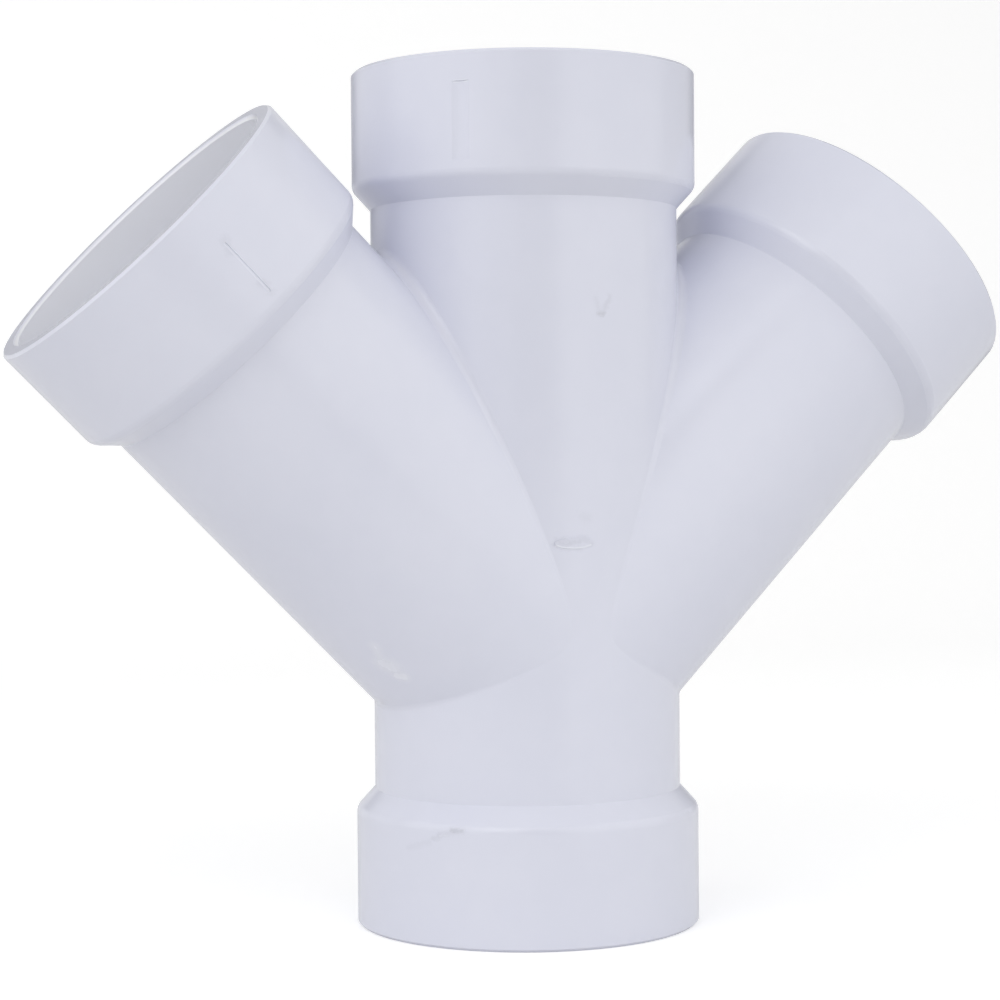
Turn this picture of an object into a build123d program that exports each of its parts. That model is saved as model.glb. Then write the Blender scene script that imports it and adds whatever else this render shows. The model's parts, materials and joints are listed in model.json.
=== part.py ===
from build123d import *
import os

# Double wye drain fitting, moulded in one piece: a straight run with a socket at each
# end, and two branches that leave it on opposite sides at the same height.
# Lengths are in millimetres and angles in degrees. The run stands on its lower mouth,
# whose centre is the origin, and rises along +Z. The branches lean to -X and +X in the
# XZ plane, and the front of the fitting faces -Y.

os.makedirs("parts", exist_ok=True)

# The pipe and the socket that takes it
pipe_diameter = 114.3
socket_clearance = 0.1       # between pipe and socket wall, on the radius
socket_depth = 44.45         # from the mouth to the stop that the pipe meets
lead_in = 1.2                # chamfer that guides the pipe into the mouth
stop_bevel = 1.0             # edge of the pipe stop, where the waterway begins

# Waterway and walls
waterway_diameter = 101.6
body_wall = 6.4
hub_wall = 6.75
branch_slimming = 0.5        # the branches are this much slimmer, on the radius

# Reach of the four arms, all measured from the crossing of their axes
branch_angle = 45.0          # between each branch and the run above it
lower_reach = 105.5
upper_reach = 210.5
branch_reach = 210.5

# Outside of the hubs
stop_cover = 6.05            # how far the shoulder ends behind the pipe stop
shoulder_length = 7.5        # slope from the hub down to the body
shoulder_round = 4.5         # outer edge of the shoulder
rim_bevel = 1.0              # outer edge of the mouth
crease_round = 3.0           # outside, where the branches leave the run

# Marks that the mould leaves
gate_length = 14.0           # trimmed stub of the runner, across the front of the body
gate_width = 3.8
gate_height = 0.4
gate_above_crossing = 37.5
gate_turn = -7.0             # round the run, from the front towards the left branch
line_length = 22.0           # fine cut line along the left hub
line_width = 1.0
line_depth = 0.5
line_from_mouth = 16.0
line_turn = 2.0              # round the left hub, from the front
flute_length = 27.5          # shallow flute along the top hub
flute_depth = 0.6
flute_radius = 10.5          # of its hollow cross-section
flute_from_mouth = 10.8
flute_turn = -44.0           # round the top hub, from the front towards the left branch

# Worked out from the sizes above
socket_radius = pipe_diameter / 2 + socket_clearance
hub_radius = socket_radius + hub_wall
waterway_radius = waterway_diameter / 2
body_radius = waterway_radius + body_wall
hub_length = socket_depth + stop_cover
mouth_overshoot = 1.0        # how far each cutting tool runs out past a mouth

# Each arm is drawn along its own +Z axis, with the crossing at zero and its mouth at
# its reach. These places turn the arms about the crossing and lift them to its height.
crossing = Pos(0, 0, lower_reach)
lower_place = crossing * Rot(180, 0, 0)
left_place = crossing * Rot(0, -branch_angle, 0)
right_place = crossing * Rot(0, branch_angle, 0)


def half_section(outline):
    """Face to be turned about Z, from its (radius, height) points."""
    points = [(radius, 0, height) for radius, height in outline]
    return make_face(Polyline(*points, close=True))


def arm_outside(reach, slimming):
    """Outside of one arm: round body, sloped shoulder, hub and bevelled mouth rim."""
    body = body_radius - slimming
    shoulder_end = reach - hub_length
    shoulder_start = shoulder_end + shoulder_length
    face = half_section([
        (0, 0),
        (body, 0),
        (body, shoulder_end),
        (hub_radius, shoulder_start),
        (hub_radius, reach - rim_bevel),
        (hub_radius - rim_bevel, reach),
        (0, reach),
    ])
    shoulder_edge = face.vertices().sort_by_distance((hub_radius, 0, shoulder_start))[0]
    return revolve(fillet(shoulder_edge, shoulder_round), Axis.Z)


def arm_inside(reach, slimming):
    """Hollow of one arm: waterway, bevelled pipe stop, socket and its lead-in."""
    waterway = waterway_radius - slimming
    stop = reach - socket_depth
    flare = lead_in + mouth_overshoot
    face = half_section([
        (0, 0),
        (waterway, 0),
        (waterway, stop - stop_bevel),
        (waterway + stop_bevel, stop),
        (socket_radius, stop),
        (socket_radius, reach - lead_in),
        (socket_radius + flare, reach + mouth_overshoot),
        (0, reach + mouth_overshoot),
    ])
    return revolve(face, Axis.Z)


def joined(arm):
    """All four arms as one solid, each drawn by the function that is given."""
    solid = crossing * arm(upper_reach, 0) + lower_place * arm(lower_reach, 0)
    branch = arm(branch_reach, branch_slimming)
    solid += left_place * branch
    solid += right_place * branch
    return solid


def outside():
    """Outer form, with a soft crease all round the root of each branch."""
    solid = joined(arm_outside)
    straight_or_round = (GeomType.LINE, GeomType.CIRCLE)
    creases = [edge for edge in solid.edges() if edge.geom_type not in straight_or_round]
    return fillet(creases, crease_round)


def gate_mark():
    """Low oval stub left where the runner of the mould was trimmed off the run."""
    prism = extrude(Plane.XZ * Ellipse(gate_length / 2, gate_width / 2), body_radius * 2)
    skin = Cylinder(body_radius + gate_height, gate_width * 2)
    return crossing * Pos(0, 0, gate_above_crossing) * Rot(0, 0, gate_turn) * (skin & prism)


def line_cutter():
    """Blade for the fine line along the front of the left hub, round at both ends."""
    middle = branch_reach - line_from_mouth - line_length / 2
    slot = Plane.XZ * Rot(0, 0, 90) * SlotOverall(line_length, line_width)
    blade = extrude(slot, hub_radius * 2) - Cylinder(hub_radius - line_depth, line_length * 2)
    return left_place * Rot(0, 0, line_turn) * Pos(0, 0, middle) * blade


def flute_cutter():
    """Round bar that sinks the shallow flute into the top hub."""
    middle = upper_reach - flute_from_mouth - flute_length / 2
    bar = Cylinder(flute_radius, flute_length)
    to_the_bar = Pos(0, -(hub_radius - flute_depth + flute_radius), middle)
    return crossing * Rot(0, 0, flute_turn) * to_the_bar * bar


def double_wye():
    """The fitting: outer form with its marks, less the sockets and the waterway."""
    solid = outside() + gate_mark() - line_cutter() - flute_cutter()
    return solid - joined(arm_inside)


fitting = double_wye()
export_step(fitting, "parts/double_wye.step")
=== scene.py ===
# %% [markdown]
# # A double wye drain fitting, moulded in white PVC
# The fitting is a single moulding: a straight run, two branches that leave it at one
# crossing, and a socket hub on each of the four ends. The solid model of it is already
# made and measured, so this lesson doesn't build the body again. It loads that body as a
# fixed frame, gives it the finish of moulded PVC, and sets up a plain studio with a floor,
# soft light and a camera. Everything is in metres, in the frame of the solid model.

# %% Load the measured body
import json
from math import cos, radians, sin

import bmesh
import bpy
from mathutils import Matrix, Vector


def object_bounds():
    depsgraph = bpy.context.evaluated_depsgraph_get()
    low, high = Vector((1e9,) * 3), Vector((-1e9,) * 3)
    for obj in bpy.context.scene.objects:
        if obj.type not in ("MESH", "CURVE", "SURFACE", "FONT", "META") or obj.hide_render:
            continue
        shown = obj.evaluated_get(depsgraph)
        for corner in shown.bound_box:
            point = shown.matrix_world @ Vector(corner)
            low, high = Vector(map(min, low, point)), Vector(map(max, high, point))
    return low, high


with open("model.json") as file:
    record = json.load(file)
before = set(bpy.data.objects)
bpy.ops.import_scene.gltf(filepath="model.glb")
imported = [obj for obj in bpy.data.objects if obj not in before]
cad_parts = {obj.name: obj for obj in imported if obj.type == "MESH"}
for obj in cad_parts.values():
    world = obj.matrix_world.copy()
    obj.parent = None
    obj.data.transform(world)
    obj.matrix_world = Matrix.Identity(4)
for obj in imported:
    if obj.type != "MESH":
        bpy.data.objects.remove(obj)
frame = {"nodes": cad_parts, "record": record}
cad_low, cad_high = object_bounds()
print("body measures", [round(side, 4) for side in cad_high - cad_low], "m")

# %% [markdown]
# ## Landmarks
# The finish has marks that belong to places on the object, such as the trimmed gate on
# the front. Their places could be typed in as plain coordinates, but those are hard to
# read and to check. Here each place is given the way someone would point it out: so far
# round the run or the branch, so far up it. The places on the branch are measured from
# the crossing of the axes, and that comes from the mounts in the record: the axis of the
# left socket meets the axis of the run there.

# %% Find the crossing, and points on the surface
MM = 0.001
RIGHT = Vector((1, 0, 0))
FRONT = Vector((0, -1, 0))
UP = Vector((0, 0, 1))
BODY_RADIUS = 57.2 * MM
BRANCH_RADIUS = 56.7 * MM
HUB_RADIUS = 64.0 * MM
IN_THE_LINE = 63.8 * MM      # between the bottom and the top of the line's walls
IN_THE_FLUTE = 63.6 * MM     # between the bottom and the top of the flute's end
STUB_EDGE = 57.4 * MM        # half way up the stub of the gate

mounts = {mount["name"]: mount for mount in frame["record"]["mounts"]}
left_point = Vector(mounts["left_socket"]["pos_m"])
left_axis = Vector(mounts["left_socket"]["axis"])
crossing = left_point - left_axis * (left_point.x / left_axis.x)
height = cad_high.z - cad_low.z


def on_run(turn, rise, radius=BODY_RADIUS):
    """Point on the run: degrees round from the front towards the right, and mm up."""
    around = RIGHT * sin(radians(turn)) + FRONT * cos(radians(turn))
    return around * radius + UP * (rise * MM)


def on_left_branch(turn, reach, radius=BRANCH_RADIUS):
    """Point on the left branch: degrees round from the front, and mm from the crossing."""
    side = left_axis.cross(FRONT)
    around = side * sin(radians(turn)) + FRONT * cos(radians(turn))
    return crossing + left_axis * (reach * MM) + around * radius


print("crossing at z =", round(crossing.z, 4), "of", round(height, 4), "m")

# %% [markdown]
# ## Shader maths as plain expressions
# A procedural finish is a lot of small sums: a distance, a mask, one minus a mask. Built
# one node at a time, that is long and hard to read. The class below wraps one socket and
# gives it Python's operators, so that a line such as `1 - mask * 0.4` adds the Math nodes
# by itself. A second class holds the node tree and has one method for any other node.

# %% A number that varies over the surface
class Field:
    """A socket with arithmetic: every operator adds a Math node to the same tree."""

    def __init__(self, finish, socket):
        self.finish = finish
        self.socket = socket

    def __add__(self, other):
        return self.finish.math("ADD", self, other)

    def __radd__(self, other):
        return self.finish.math("ADD", other, self)

    def __sub__(self, other):
        return self.finish.math("SUBTRACT", self, other)

    def __rsub__(self, other):
        return self.finish.math("SUBTRACT", other, self)

    def __mul__(self, other):
        return self.finish.math("MULTIPLY", self, other)

    def fade(self, start, end):
        """A mask that goes smoothly from 0 at start to 1 at end."""
        settings = {"interpolation_type": "SMOOTHSTEP", "clamp": True}
        sockets = {"Value": self, "From Min": start, "From Max": end}
        made = self.finish.node("MapRange", settings, sockets)
        return Field(self.finish, made.outputs[0])


# %% A finish and its nodes
class Finish:
    """The node tree of a material or of the world."""

    def __init__(self, owner):
        self.owner = owner
        owner.use_nodes = True
        self.tree = owner.node_tree
        self.tree.nodes.clear()

    def node(self, kind, settings=None, sockets=None):
        """Add a node of any type: settings first, then values or links of its sockets."""
        made = self.tree.nodes.new("ShaderNode" + kind)
        for name, value in (settings or {}).items():
            setattr(made, name, value)
        for name, value in (sockets or {}).items():
            if isinstance(value, Field):
                value = value.socket
            if isinstance(value, bpy.types.NodeSocket):
                self.tree.links.new(value, made.inputs[name])
            else:
                made.inputs[name].default_value = value
        return made

    def math(self, operation, *values):
        made = self.node("Math", {"operation": operation}, dict(enumerate(values)))
        return Field(self, made.outputs[0])

    def noise(self, place, scale, detail):
        sockets = {"Vector": place, "Scale": scale, "Detail": detail}
        return Field(self, self.node("TexNoise", None, sockets).outputs["Fac"])

    def blend(self, mask, first, second):
        """Mix two colours, each a colour or a socket, by a mask."""
        made = self.node("Mix", {"data_type": "RGBA"}, {0: mask, 6: first, 7: second})
        return made.outputs[2]

    def vector(self, operation, *values):
        """Vector Math that gives a vector, such as a difference."""
        made = self.node("VectorMath", {"operation": operation}, dict(enumerate(values)))
        return made.outputs[0]

    def length(self, operation, *values):
        """Vector Math that gives one number, such as a distance or a dot product."""
        made = self.node("VectorMath", {"operation": operation}, dict(enumerate(values)))
        return Field(self, made.outputs["Value"])

    def from_line(self, place, start, end):
        """Distance from the line between two points, and how far along it that is."""
        run = (end - start).length
        way = (end - start).normalized()
        offset = self.vector("SUBTRACT", place, start)
        ahead = self.math("MAXIMUM", self.length("DOT_PRODUCT", offset, way), 0.0)
        passed = self.math("MINIMUM", ahead, run)
        foot = self.node("VectorMath", {"operation": "SCALE"}, {0: way, 3: passed})
        return self.length("DISTANCE", offset, foot.outputs[0]), passed


# %% [markdown]
# ## White PVC
# Fittings like this are injection-moulded in rigid PVC with a lot of white pigment. The
# surface is a cool white, smooth and softly glossy. Close up it isn't perfect: the melt
# leaves a slight orange peel, the colour is a little uneven, and handling dulls some
# patches. A single glossy colour would look like glazed china. So the finish is built in
# layers: colour, gloss and relief each vary a little, at the sizes that the real marks
# have. Noise on Object coordinates does this without any image. The walls inside are
# painted a shade paler: painted light that lifts their shade.

# %% Colours of the finish
WHITE = (0.785, 0.797, 0.895, 1.0)
COOL_WHITE = (0.760, 0.774, 0.876, 1.0)
# Painted light: a paler white for the walls inside, standing in for light in the shaded
# sockets
INSIDE_PAINTED_LIGHT_WHITE = (0.910, 0.918, 0.970, 1.0)
# Painted highlight: the pale patch under the left branch
PAINTED_HIGHLIGHT_WHITE = (0.95, 0.96, 1.0, 1.0)
GREY_MARK = (0.43, 0.44, 0.50, 1.0)
# Painted light: a paler white that lifts the shade in the fine line, the flute and under the
# stub of the gate
PAINTED_LIGHT_WHITE = (0.92, 0.935, 1.0, 1.0)

# %% [markdown]
# ## Marks
# The fitting has a handful of small marks: a grey smudge where the gate was trimmed, a
# little nick above it and a scratch along the shoulder of the lower hub. Light is painted
# on it too: a painted highlight, a pale patch under the left branch, and a paler colour in
# the fine line and the flute of the hubs and under the stub of the gate, painted light that
# lifts their shade. Each is a stroke between two points, so one function serves all of
# them: the distance from a line becomes a mask, and noise on that distance keeps its edge
# from looking drawn. Each tone has its own list.

# %% Strokes, as where they lie, their two ends, their half width in mm and their strength
GREY_STROKES = [
    (on_run, (-13.0, 143.2), (-5.0, 143.4), 2.6, 0.24),
    (on_run, (-11.0, 141.2), (-4.5, 141.0), 1.6, 0.10),
    (on_run, (-4.2, 144.4), (-0.4, 143.2), 2.2, 0.16),
    (on_run, (-3.2, 152.4), (-2.0, 151.4), 3.4, 0.07),
    (on_run, (3.4, 224.0), (5.4, 224.2), 1.6, 0.40),
    (on_run, (5.6, 225.4), (8.0, 229.9), 1.7, 0.15),
    (on_run, (3.2, 225.8), (2.2, 229.2), 1.7, 0.09),
    (on_run, (-49.0, 42.2, HUB_RADIUS), (-45.5, 42.4, HUB_RADIUS), 1.7, 0.42),
    (on_run, (-50.5, 41.2, HUB_RADIUS), (-56.0, 38.8, HUB_RADIUS), 1.8, 0.17),
    (on_run, (-57.0, 37.6, HUB_RADIUS), (-66.0, 34.6, HUB_RADIUS), 2.0, 0.08),
    (on_left_branch, (2.6, 195.0, HUB_RADIUS), (1.4, 191.5, HUB_RADIUS), 2.8, 0.14),
    (on_left_branch, (2.0, 176.5, HUB_RADIUS), (2.0, 172.5, HUB_RADIUS), 2.6, 0.14),
]
# A painted highlight: a pale patch under the left branch, near its lower joint with the run
PAINTED_HIGHLIGHT_STROKES = [
    (on_left_branch, (-60.5, 51.5), (-64.0, 44.0), 3.8, 0.26),
    (on_left_branch, (-64.0, 44.0), (-62.0, 40.8), 6.4, 0.36),
    (on_left_branch, (-63.0, 37.2), (-60.5, 35.6), 3.3, 0.50),
]
# Painted light: a paler colour that lifts the shade in the fine line, at the end of the
# flute and under the stub of the gate
PAINTED_LIGHT_STROKES = [
    (on_left_branch, (2.0, 173.0, IN_THE_LINE), (2.0, 194.0, IN_THE_LINE), 0.70, 0.55),
    (on_run, (-46.2, 305.05, IN_THE_FLUTE), (-41.8, 305.05, IN_THE_FLUTE), 0.62, 0.50),
    (on_run, (-13.4, 142.22, STUB_EDGE), (-10.5, 141.33, STUB_EDGE), 0.5, 0.55),
    (on_run, (-10.5, 141.33, STUB_EDGE), (-7.0, 141.1, STUB_EDGE), 0.5, 0.55),
    (on_run, (-7.0, 141.1, STUB_EDGE), (-3.5, 141.33, STUB_EDGE), 0.5, 0.55),
    (on_run, (-3.5, 141.33, STUB_EDGE), (-0.6, 142.22, STUB_EDGE), 0.5, 0.55),
]

# %% Draw the strokes
# How far noise moves the edge of a stroke, as a share of its half width
SMUDGED = 1.4
# for the painted highlight
PAINTED_HIGHLIGHT_RAGGED = 0.5
# for the painted light in the hollows
PAINTED_LIGHT_RAGGED = 0.1
# Share of the half width that the painted light covers fully
PAINTED_LIGHT_CORE = 0.85
STRAY_SCALE, STRAY_DETAIL = 620.0, 3.0


def drawn(finish, place, strokes, ragged, core=0.0):
    """One mask for a list of strokes: full strength in the core, none beyond the width."""
    stray = (finish.noise(place, STRAY_SCALE, STRAY_DETAIL) - 0.5) * ragged
    mask = 0.0
    for lies_on, start, end, half_width, strength in strokes:
        width = half_width * MM
        away, _ = finish.from_line(place, lies_on(*start), lies_on(*end))
        edge = away + stray * width
        stroke = (1 - edge.fade(width * core, width)) * strength
        mask = finish.math("MAXIMUM", mask, stroke)
    return mask


# Counts the grey marks, the painted highlight and the strokes of painted light
print("strokes:", len(GREY_STROKES), "grey,", len(PAINTED_HIGHLIGHT_STROKES), "pale,",
      len(PAINTED_LIGHT_STROKES), "of dust")

# %% The inside of the fitting
SOCKETS = ("bottom_socket", "top_socket", "left_socket", "right_socket")
SOCKET_LENGTH = 44.45 * MM
# Radii that part the walls inside from the outside, and where one turns into the other
WITHIN_BODY = 54.0 * MM
WITHIN_HUB = 58.0 * MM
BEFORE_STOP = (2.0 * MM, 1.0 * MM)
MASK_EDGE = 0.4 * MM


# The mask of the walls inside, where a paler colour is painted as light on their shade
def inside(finish, place):
    """1 on the walls of the waterway and the sockets, 0 on the rims and outside."""
    beyond = 1.0
    for name in SOCKETS:
        axis = Vector(mounts[name]["axis"])
        mouth = Vector(mounts[name]["pos_m"]) + axis * (SOCKET_LENGTH / 2)
        stop = (mouth - crossing).length - SOCKET_LENGTH
        away, passed = finish.from_line(place, crossing, mouth)
        in_hub = passed.fade(stop - BEFORE_STOP[0], stop - BEFORE_STOP[1])
        widest = WITHIN_BODY + in_hub * (WITHIN_HUB - WITHIN_BODY)
        beyond = finish.math("MINIMUM", beyond, away - widest)
    return 1 - beyond.fade(-MASK_EDGE, MASK_EDGE)


# %% Patterns of the finish
# Soft patches, as their number to the metre, their detail, and where the noise starts
# and ends to show them
CLOUD = (13.0, 2.0, 0.30, 0.70)
MOTTLE = (90.0, 3.0, 0.35, 0.70)
HANDLED = (38.0, 3.0, 0.40, 0.75)
CLOUD_SHARE = 0.7
# Roughness of clean plastic, and what handling and marks add to it
CLEAN_ROUGHNESS = 0.20
HANDLED_ADDS = 0.06
MARKS_ADD = 0.25
# Relief, as its number to the metre, its detail and its height in mm
ORANGE_PEEL = (240.0, 2.0, 0.004)
GRAIN = (1500.0, 1.0, 0.0004)
PVC_IOR = 1.53


def patches(finish, place, scale, detail, start, end):
    return finish.noise(place, scale, detail).fade(start, end)


def bumps(finish, place, scale, detail, tall):
    return finish.noise(place, scale, detail) * tall


# %% The layers of the finish
def white_pvc():
    finish = Finish(bpy.data.materials.new("white_pvc"))
    place = finish.node("TexCoord").outputs["Object"]

    # Patches about as wide as a hand, and mottling of about a centimetre
    cloud = patches(finish, place, *CLOUD) * CLOUD_SHARE
    mottle = patches(finish, place, *MOTTLE) * (1 - CLOUD_SHARE)
    colour = finish.blend(cloud + mottle, COOL_WHITE, WHITE)
    # Painted light: the walls inside get a paler white that lifts their shade
    colour = finish.blend(inside(finish, place), colour, INSIDE_PAINTED_LIGHT_WHITE)
    grey = drawn(finish, place, GREY_STROKES, SMUDGED)
    # Painted highlight: a pale patch under the left branch
    painted_highlight = drawn(finish, place, PAINTED_HIGHLIGHT_STROKES, PAINTED_HIGHLIGHT_RAGGED)
    # Painted light that lifts the shade in the fine line, the flute and under the stub of
    # the gate
    painted_light = drawn(finish, place, PAINTED_LIGHT_STROKES, PAINTED_LIGHT_RAGGED, PAINTED_LIGHT_CORE)
    for mask, tone in ((grey, GREY_MARK), (painted_highlight, PAINTED_HIGHLIGHT_WHITE), (painted_light, PAINTED_LIGHT_WHITE)):
        colour = finish.blend(mask, colour, tone)

    # Handling, the marks and the patch of painted highlight dull the gloss
    handled = patches(finish, place, *HANDLED)
    dulled = handled * HANDLED_ADDS + (grey + painted_highlight) * MARKS_ADD

    # Orange peel of a few millimetres, and a fine grain on it
    relief = bumps(finish, place, *ORANGE_PEEL) + bumps(finish, place, *GRAIN)
    bump = finish.node("Bump", None, {"Height": relief, "Distance": MM, "Strength": 1.0})

    surface = finish.node("BsdfPrincipled", None, {
        "Base Color": colour,
        "Roughness": CLEAN_ROUGHNESS + dulled,
        "Normal": bump.outputs[0],
        "IOR": PVC_IOR,
    })
    finish.node("OutputMaterial", None, {"Surface": surface.outputs[0]})
    return finish.owner


# %% Dress the body
pvc = white_pvc()
for name, node in frame["nodes"].items():
    for slot in node.material_slots:
        slot.material = pvc
    print("dressed", name, "with", len(node.data.polygons), "triangles")

# %% [markdown]
# ## Floor and backdrop
# In a studio the product stands on a long sheet of white card that curves up behind it,
# so that no edge or horizon shows. A plane and a wall would leave a corner. Here one
# edge is extruded from a few points and the corner is rounded with a bevel, which is how
# the card itself bends.

# %% Bend the card
CARD_WIDTH = 7.0
CARD_FRONT = -0.6
CARD_BACK = 2.2
CARD_TOP = 4.0
BEND_RADIUS = 1.2
BEND_STEPS = 24
ROUND_PROFILE = 0.5
JUST_BELOW = 0.05 * MM


def studio_card():
    shape = bmesh.new()
    line = [(CARD_FRONT, 0.0), (CARD_BACK, 0.0), (CARD_BACK, CARD_TOP)]
    points = [shape.verts.new((-CARD_WIDTH / 2, y, z - JUST_BELOW)) for y, z in line]
    edges = [shape.edges.new(pair) for pair in zip(points, points[1:])]
    swept = bmesh.ops.extrude_edge_only(shape, edges=edges)
    moved = [item for item in swept["geom"] if isinstance(item, bmesh.types.BMVert)]
    bmesh.ops.translate(shape, verts=moved, vec=(CARD_WIDTH, 0, 0))
    corner = [edge for edge in shape.edges if all(
        abs(v.co.y - CARD_BACK) < MM and abs(v.co.z) < MM for v in edge.verts)]
    bmesh.ops.bevel(shape, geom=corner, offset=BEND_RADIUS, offset_type="OFFSET",
                    affect="EDGES", segments=BEND_STEPS, profile=ROUND_PROFILE,
                    material=-1)
    bmesh.ops.recalc_face_normals(shape, faces=shape.faces)
    mesh = bpy.data.meshes.new("studio_card")
    shape.to_mesh(mesh)
    shape.free()
    mesh.shade_smooth()
    return bpy.data.objects.new("studio_card", mesh)


card = studio_card()
bpy.context.scene.collection.objects.link(card)
print("card has", len(card.data.polygons), "faces")

# %% [markdown]
# ## White card that still takes a shadow
# The photograph's background is pure white. More light would bleach the fitting, so the
# card gets its last bit of brightness only where the camera, or a reflection, looks at
# it: the Light Path node knows what kind of ray is asking. Light that bounces off the
# card onto the fitting is that of an ordinary white card, and the fitting's own shadow
# still darkens it.

# %% Finish of the card
CARD_WHITE = (0.85, 0.85, 0.85, 1.0)
CARD_LIFT = 0.37
LIFT_IN_REFLECTIONS = 0.1
TOOTH_SCALE, TOOTH_DETAIL = 900.0, 2.0
TOOTH_HEIGHT = 0.05 * MM


def lift(finish):
    """Extra brightness: all of it for the camera, a little for reflections and glass."""
    path = finish.node("LightPath")
    camera, glossy, glass = [Field(finish, path.outputs[name]) for name in
                             ("Is Camera Ray", "Is Glossy Ray", "Is Transmission Ray")]
    return camera * CARD_LIFT + (glossy + glass) * LIFT_IN_REFLECTIONS


def card_finish():
    finish = Finish(bpy.data.materials.new("studio_white_card"))
    place = finish.node("TexCoord").outputs["Object"]
    tooth = finish.noise(place, TOOTH_SCALE, TOOTH_DETAIL)
    bump = finish.node("Bump", None, {"Height": tooth, "Distance": TOOTH_HEIGHT})
    sockets = {"Color": CARD_WHITE, "Normal": bump.outputs[0]}
    paper = finish.node("BsdfDiffuse", None, sockets)
    glow = finish.node("Emission", None, {"Strength": lift(finish)})
    both = finish.node("AddShader", None, {0: paper.outputs[0], 1: glow.outputs[0]})
    finish.node("OutputMaterial", None, {"Surface": both.outputs[0]})
    return finish.owner


card.data.materials.append(card_finish())
print("card is", CARD_WHITE[0], "white, lifted by", CARD_LIFT, "for the camera")

# %% [markdown]
# ## Camera
# The photograph was taken from the left of the front, a little above the middle of the
# fitting, with a long lens from under a metre away. The camera was found by matching the
# outline of the fitting, so it is written as a stand point, two angles, a slight lean
# and a lens.

# %% Place the camera
CAMERA_PLACE = Vector((-369.7, -823.3, 175.9)) * MM
CAMERA_TURN = radians(23.578)
CAMERA_DOWN = radians(1.179)
CAMERA_LEAN = radians(0.45)
SENSOR = 36.0
FRAME_PIXELS = 1000.0
FOCAL_PIXELS = 2405.9
FAR_CLIP = 50.0


def studio_camera():
    forward = Vector((sin(CAMERA_TURN) * cos(CAMERA_DOWN),
                      cos(CAMERA_TURN) * cos(CAMERA_DOWN),
                      -sin(CAMERA_DOWN)))
    level = forward.cross(UP).normalized()
    upright = level.cross(forward)
    up = upright * cos(CAMERA_LEAN) + level * sin(CAMERA_LEAN)
    right = forward.cross(up)
    lens = bpy.data.cameras.new("studio_camera")
    lens.sensor_width = SENSOR
    lens.lens = FOCAL_PIXELS / FRAME_PIXELS * SENSOR
    lens.clip_end = FAR_CLIP
    made = bpy.data.objects.new("studio_camera", lens)
    turned = Matrix((right, up, -forward)).transposed().to_4x4()
    made.matrix_world = Matrix.Translation(CAMERA_PLACE) @ turned
    bpy.context.scene.collection.objects.link(made)
    return made


camera = studio_camera()
bpy.context.scene.camera = camera
bpy.context.scene.view_settings.view_transform = "Standard"
print("camera has a lens of", round(camera.data.lens, 1), "mm")

# %% [markdown]
# ## Light
# The photograph has no hard shadow and hardly any shading: a tent of soft light. Two wide
# softboxes stand left and right of the camera, a smaller one hangs above it, and a pale
# room fills the rest. A glossy tube mirrors what stands round the camera, so the gap
# between the two side boxes shows as a slightly darker band down the middle of each tube.
# Places are given as an angle from the camera, seen from the fitting, because that is how
# the reflections move.

# %% Softboxes
MIDDLE = UP * (height / 2)
# Each with its angle from the camera, its distance, its height, its width, how tall it is
# and its power
SOFTBOXES = [
    ("left_softbox", -60, 2.0, 1.2, 3.2, 2.4, 14.3),
    ("right_softbox", 64, 2.0, 0.8, 3.2, 2.4, 12.9),
    ("front_softbox", -8, 1.9, 1.7, 2.2, 1.2, 7.8),
]


def around(angle, distance, rise):
    """Place at an angle from the camera, seen from the fitting; positive is to the right."""
    to_camera = Vector((-sin(CAMERA_TURN), -cos(CAMERA_TURN), 0))
    to_right = Vector((cos(CAMERA_TURN), -sin(CAMERA_TURN), 0))
    way = to_camera * cos(radians(angle)) + to_right * sin(radians(angle))
    return way * distance + UP * rise


def facing(made, target):
    """Turn a lamp or a board so that its face looks at the target."""
    made.rotation_euler = (target - made.location).to_track_quat("-Z", "Y").to_euler()


def softbox(name, place, width, tall, power):
    lamp = bpy.data.lights.new(name, "AREA")
    lamp.shape = "RECTANGLE"
    lamp.size = width
    lamp.size_y = tall
    lamp.energy = power
    made = bpy.data.objects.new(name, lamp)
    made.location = place
    facing(made, MIDDLE)
    bpy.context.scene.collection.objects.link(made)


for name, angle, distance, rise, width, tall, power in SOFTBOXES:
    softbox(name, around(angle, distance, rise), width, tall, power)
print("lamps:", [name for name, *_ in SOFTBOXES])

# %% World
ROOM_ABOVE = 0.615
ROOM_BELOW = 0.42
HORIZON_BLUR = (-0.25, 0.35)
PURE_WHITE = (1.0, 1.0, 1.0, 1.0)


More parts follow.
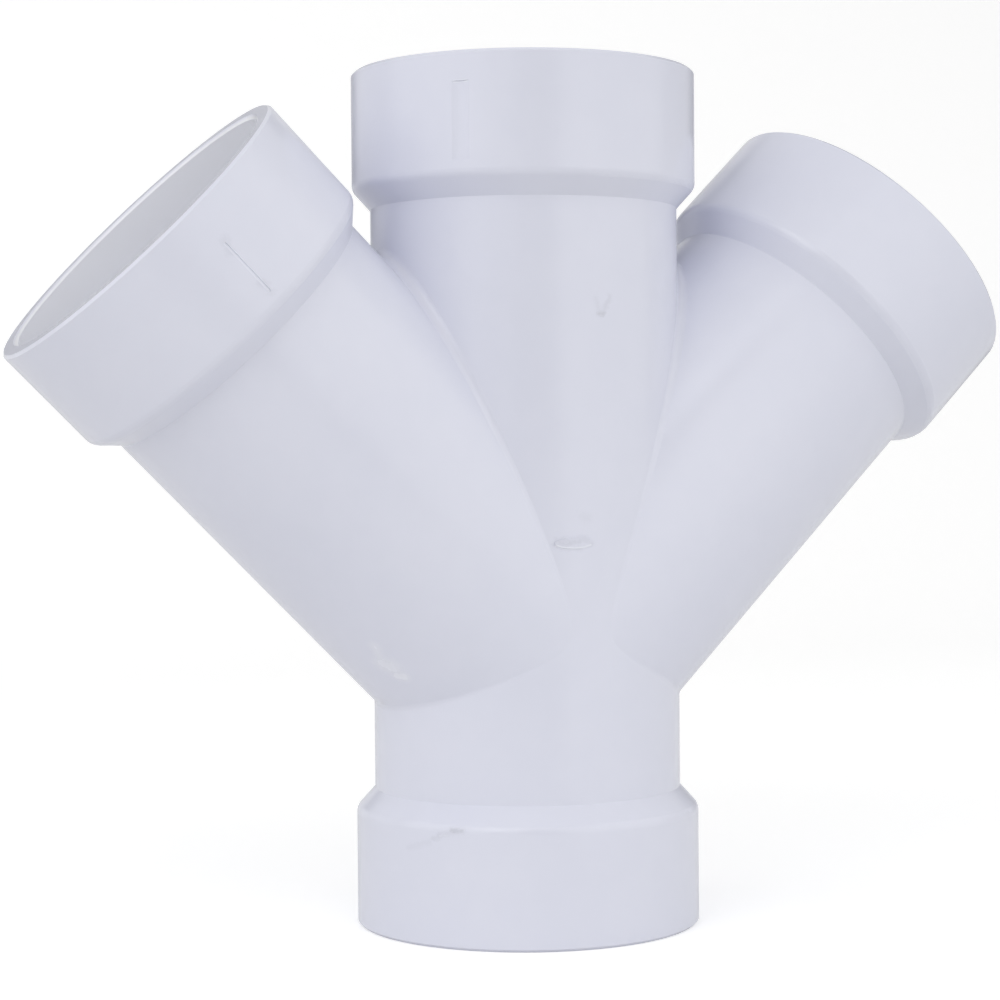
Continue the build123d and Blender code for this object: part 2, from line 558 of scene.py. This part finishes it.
def soft_room():
    """World, brighter above the horizon, and plain white where the camera sees it."""
    finish = Finish(bpy.data.worlds.new("soft_room"))
    way = finish.node("TexCoord").outputs["Generated"]
    parts = finish.node("SeparateXYZ", None, {0: way})
    upward = Field(finish, parts.outputs["Z"])
    glow = ROOM_BELOW + upward.fade(*HORIZON_BLUR) * (ROOM_ABOVE - ROOM_BELOW)
    seen = Field(finish, finish.node("LightPath").outputs["Is Camera Ray"])
    sockets = {"Color": PURE_WHITE, "Strength": glow * (1 - seen) + seen}
    light = finish.node("Background", None, sockets)
    finish.node("OutputWorld", None, {"Surface": light.outputs[0]})
    return finish.owner


bpy.context.scene.world = soft_room()
print("room is", ROOM_ABOVE, "above the horizon and", ROOM_BELOW, "below it")

# %% [markdown]
# ## Grey boards that only show in reflections
# White on white loses its edge. A photographer stands dark boards just out of the frame,
# behind the object and to each side. At the rim of a tube the surface is seen at a
# glancing angle, where plastic mirrors strongly, and what it mirrors there are the
# boards, so a thin darker line follows the outline. A third board stands behind the
# camera. It closes the gap between the softboxes, so that the band down the middle of
# each tube gets its crisp edges. The boards are there for reflections only, so they are
# hidden from the camera and from the soft light.

# %% Stand the boards
BOARD_AWAY = 1.9
BOARD_TALL = 2.0
GREY_FELT = (0.34, 0.34, 0.36, 1.0)
BLACK_FELT = (0.05, 0.05, 0.05, 1.0)
# Each with its angle from the camera, its width and its colour
BOARDS = [
    ("left_board", -154, 0.62, GREY_FELT),
    ("right_board", 154, 0.62, GREY_FELT),
    ("camera_board", 8, 0.90, BLACK_FELT),
]


def felt(name, colour):
    finish = Finish(bpy.data.materials.new(name))
    matt = finish.node("BsdfDiffuse", None, {"Color": colour})
    finish.node("OutputMaterial", None, {"Surface": matt.outputs[0]})
    return finish.owner


def board(name, angle, width, colour):
    shape = bmesh.new()
    bmesh.ops.create_grid(shape, x_segments=1, y_segments=1, size=0.5)
    bmesh.ops.scale(shape, verts=shape.verts, vec=(width, BOARD_TALL, 1.0))
    mesh = bpy.data.meshes.new(name)
    shape.to_mesh(mesh)
    shape.free()
    made = bpy.data.objects.new(name, mesh)
    made.location = around(angle, BOARD_AWAY, BOARD_TALL / 2)
    facing(made, UP * (BOARD_TALL / 2))
    made.visible_camera = False
    made.visible_diffuse = False
    made.visible_shadow = False
    mesh.materials.append(felt(name + "_felt", colour))
    bpy.context.scene.collection.objects.link(made)


for name, angle, width, colour in BOARDS:
    board(name, angle, width, colour)
print("boards stand", BOARD_AWAY, "m from the fitting")
